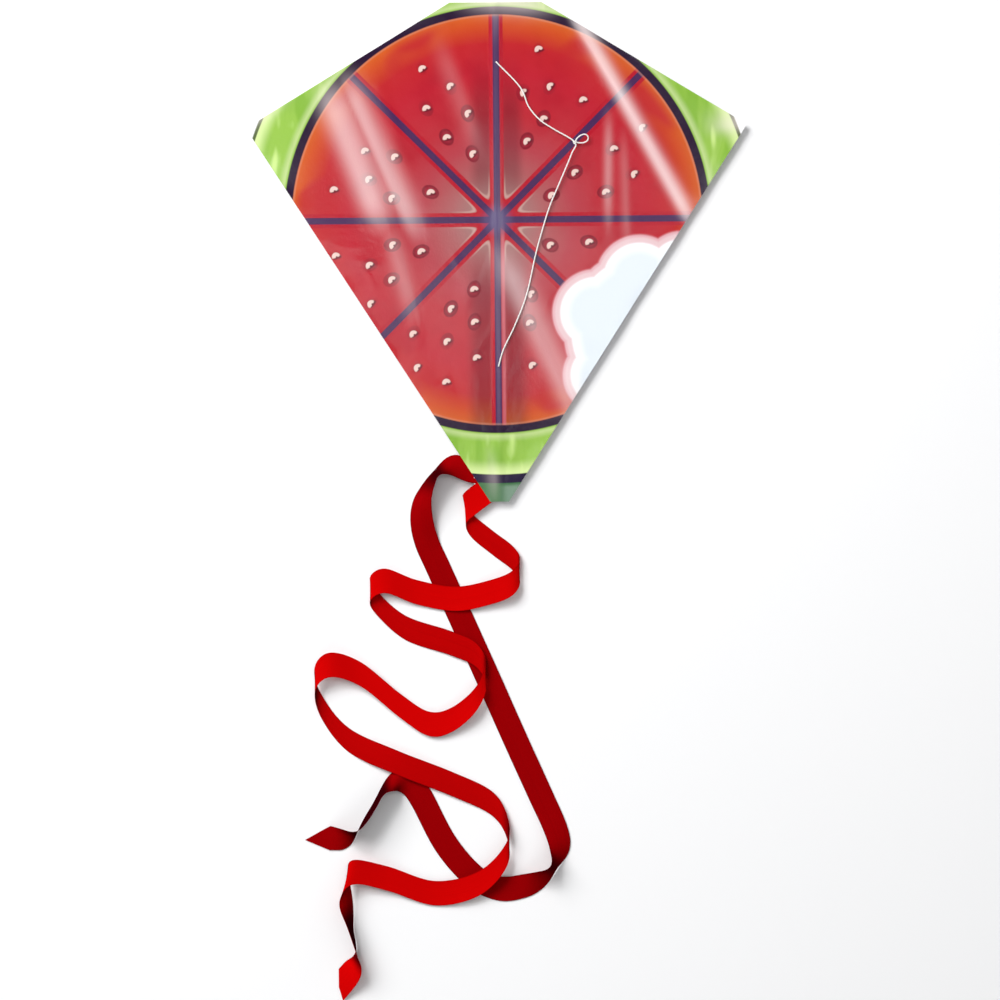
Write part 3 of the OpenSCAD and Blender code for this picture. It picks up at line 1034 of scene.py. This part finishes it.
FLANGE_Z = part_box("upper_bridle_patch")[0].z - 0.1 * MM
POCKET_FILM = 0.15 * MM
POCKET_LIFT = 0.25 * MM
POCKET_CLOSING = 5.5 * MM
POCKET_ROWS = 45
END_INSET = 0.4 * MM
TIP_INSET = 0.3 * MM
# A pocket's section: across in millimetres, then height from 0 at the bottom to 1 at the flange
POCKET_SECTION = [
    (-8.5, 1.0), (-7.0, 1.0), (-5.6, 0.99), (-4.7, 0.93), (-4.15, 0.78), (-3.95, 0.5),
    (-3.6, 0.28), (-2.8, 0.1), (-1.5, 0.01), (0.0, 0.0), (1.5, 0.01), (2.8, 0.1), (3.6, 0.28),
    (3.95, 0.5), (4.15, 0.78), (4.7, 0.93), (5.6, 0.99), (7.0, 1.0), (8.5, 1.0),
]


def pocket_grid(middle, outward, length, bottom):
    """Rows of points from a pocket's open end to its closed end, each along its section."""
    across = Vector((-outward.y, outward.x, 0))
    section = np.array(POCKET_SECTION)
    rows = []
    for step in np.linspace(0, 1, POCKET_ROWS):
        centre = middle + outward * (step - 0.5) * length
        room_left, room_right = flange_room(centre, outward)
        closing = np.clip((step * length - (length - POCKET_CLOSING)) / POCKET_CLOSING, 0, 1)
        depth = math.sqrt(1 - closing**4) * (FLANGE_Z - bottom)
        shift = np.clip(section[:, 0] * MM, -room_left, room_right)
        height = FLANGE_Z - depth * (1 - section[:, 1])
        rows.append([(centre.x + across.x * a, centre.y + across.y * a, z)
                     for a, z in zip(shift, height)])
    return np.array(rows)


def make_pocket(name, node, outward, body, materials):
    """A film pocket round an end cap: a U under the cap, with a flange sealed to the sail on each side.

    outward is the direction of its closed end.
    """
    low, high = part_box(node)
    outward = Vector(outward)
    middle = (low + high) / 2
    middle.y = SPAR_Y if outward.x else middle.y
    middle.x = 0.0 if outward.y else middle.x
    length = abs((high - low).dot(outward))
    grid = pocket_grid(middle, outward, length, low.z + POCKET_LIFT)
    weld = np.zeros_like(grid)
    weld[:, :, 0] = np.linspace(0, 1, POCKET_ROWS)[:, None] * length
    weld[:, :, 1] = np.array(POCKET_SECTION)[None, :, 0] * MM
    pocket = sheet_piece(name, grid, POCKET_FILM, materials, {"weld": weld})
    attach(pocket, body)
    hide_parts(node)


def flange_room(centre, outward):
    """How far a pocket may reach on its left and on its right before it passes the sail's edge."""
    if outward.y:
        room = float(half_width(centre.y)) - END_INSET
        return room, room
    inset = CORNER_X - abs(centre.x)
    above = inset * (NOSE_Y - SPAR_Y) / (CORNER_X - NOSE_HALF) - TIP_INSET
    below = inset * (SPAR_Y - TAIL_Y) / (CORNER_X - TAIL_HALF) - TIP_INSET
    return (below, above) if outward.x > 0 else (above, below)


TIE_TURNS = 2
TIE_WIDTH = 3.4
TIE_FIT = 1.02


def make_tie(name, node, string):
    """Turns of string round the spine, then a stub up to just below the sail's face."""
    low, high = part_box(node)
    y = (low.y + high.y) / 2
    radius = ROD_R + STRING_RADIUS * TIE_FIT
    t = np.linspace(0, 1, 110)
    angle = 2 * np.pi * TIE_TURNS * t
    turns = np.stack([radius * np.sin(angle), y + (t - 0.5) * TIE_WIDTH * MM,
                      ROD_Z + radius * np.cos(angle)], axis=1)
    rise = np.linspace(0, 1, 12)[1:, None]
    last = turns[-1]
    top = np.array([0.0, y, high.z - 0.5 * MM])
    stub = last + (top - last) * np.concatenate([rise**2, rise**0.6, rise], axis=1)
    path = np.concatenate([turns, stub])
    tie = string_piece(name, path, STRING_RADIUS, string)
    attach(tie, "frame")
    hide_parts(node)


def make_frame(string):
    finish_nodes(fibreglass("fibreglass_spine", (900, 14, 900)), "spine_rod")
    finish_nodes(fibreglass("fibreglass_spar", (14, 900, 900)), "left_spar", "right_spar")
    white = moulded("vinyl_white", paint(236, 236, 231), paint(214, 214, 208), 0.5, 0.00003)
    finish_nodes(white, "nose_cap", "tail_cap", "left_tip_cap", "right_tip_cap")
    black = moulded("hub_black", paint(34, 34, 36), paint(52, 52, 55), 0.45, 0.00004)
    finish_nodes(black, "centre_hub")
    dark = moulded("sleeve_dark", paint(62, 62, 66), paint(44, 44, 47), 0.6, 0.00003)
    film = clear_film("film_clear", True)
    disc = clear_film("film_patch", False)
    finish_nodes(disc, "upper_bridle_patch", "lower_bridle_patch", "tail_tape")
    make_pocket("nose_film_pocket", "nose_pocket", (0, 1, 0), "frame", [film])
    make_pocket("tail_film_pocket", "tail_pocket", (0, -1, 0), "frame", [film])
    for side, word in ((-1, "left"), (1, "right")):
        make_sleeve(side, word, dark)
        make_pocket(f"{word}_film_pocket", f"{word}_pocket", (side, 0, 0), f"{word}_wing", [film])
    make_tie("upper_tie_string", "upper_bridle_tie", string)
    make_tie("lower_tie_string", "lower_bridle_tie", string)


make_frame(string_material)


# ----------------------------------------
# Floor and light
# ----------------------------------------

FLOOR_HALF = 12.0
FLOOR_GAP = 0.0002
# Brightness of the surroundings where they only light the kite
SURROUNDINGS = 0.20


def make_floor():
    material = Material("floor_white", paint(253, 253, 254), Roughness=0.9, Specular_IOR_Level=0.0)
    material.layer(paint(249, 250, 251), material.noise(material.place((0.7, 0.7, 0.7))), 0.3)
    corners = [(FLOOR_HALF * x, FLOOR_HALF * y, 0) for x, y in ((-1, -1), (1, -1), (1, 1), (-1, 1))]
    mesh = bpy.data.meshes.new("floor")
    mesh.from_pydata(corners, [], [(0, 1, 2, 3)])
    mesh.materials.append(material.done())
    floor = bpy.data.objects.new("floor", mesh)
    floor.location = (0, 0, cad_bounds[0].z - FLOOR_GAP)
    bpy.context.scene.collection.objects.link(floor)


def soft_light(name, place, target, size, radiance, mirrored=True):
    """A rectangular light: size is across and along, radiance is that of its face.

    A light that isn't mirrored gives light and shadow, but no reflection in the glossy film.
    """
    data = bpy.data.lights.new(name, "AREA")
    data.shape = "RECTANGLE"
    data.size, data.size_y = size
    data.energy = radiance * math.pi * size[0] * size[1]
    light = bpy.data.objects.new(name, data)
    light.visible_glossy = mirrored
    light.location = place
    light.rotation_euler = (Vector(target) - Vector(place)).to_track_quat("-Z", "Y").to_euler()
    bpy.context.scene.collection.objects.link(light)


def make_world():
    """Pale surroundings: bright where they are seen, dim where they only light the kite."""
    world = bpy.data.worlds.new("world")
    world.use_nodes = True
    tree = world.node_tree
    ground = tree.nodes["Background"]
    ground.inputs["Color"].default_value = (1.0, 1.0, 1.0, 1.0)
    seen = tree.nodes.new("ShaderNodeLightPath").outputs["Is Camera Ray"]
    strength = tree.nodes.new("ShaderNodeMapRange")
    tree.links.new(seen, strength.inputs["Value"])
    strength.inputs["To Min"].default_value = SURROUNDINGS
    strength.inputs["To Max"].default_value = 1.0
    tree.links.new(strength.outputs["Result"], ground.inputs["Strength"])
    bpy.context.scene.world = world


def make_light():
    middle = (cad_bounds[0] + cad_bounds[1]) / 2
    soft_light("key", (-2.6, 2.2, 3.2), middle, (3.0, 3.0), 8.0)
    soft_light("crisp_key", (-1.6, 2.6, 3.2), middle, (0.6, 0.6), 30.0, mirrored=False)
    soft_light("fill_right", (3.4, -0.6, 2.6), middle, (2.4, 2.4), 0.4)
    soft_light("fill_low", (-0.6, -4.0, 2.6), middle, (2.4, 2.4), 1.2)
    soft_light("strip_left", (-0.80, 0.25, 3.0), (-0.15, 0.05, 0.0), (0.34, 1.5), 4.5)
    soft_light("strip_right", (0.80, 0.25, 3.0), (0.15, 0.05, 0.0), (0.34, 1.5), 4.5)


make_floor()
make_world()
make_light()
bpy.context.scene.view_settings.view_transform = "Standard"
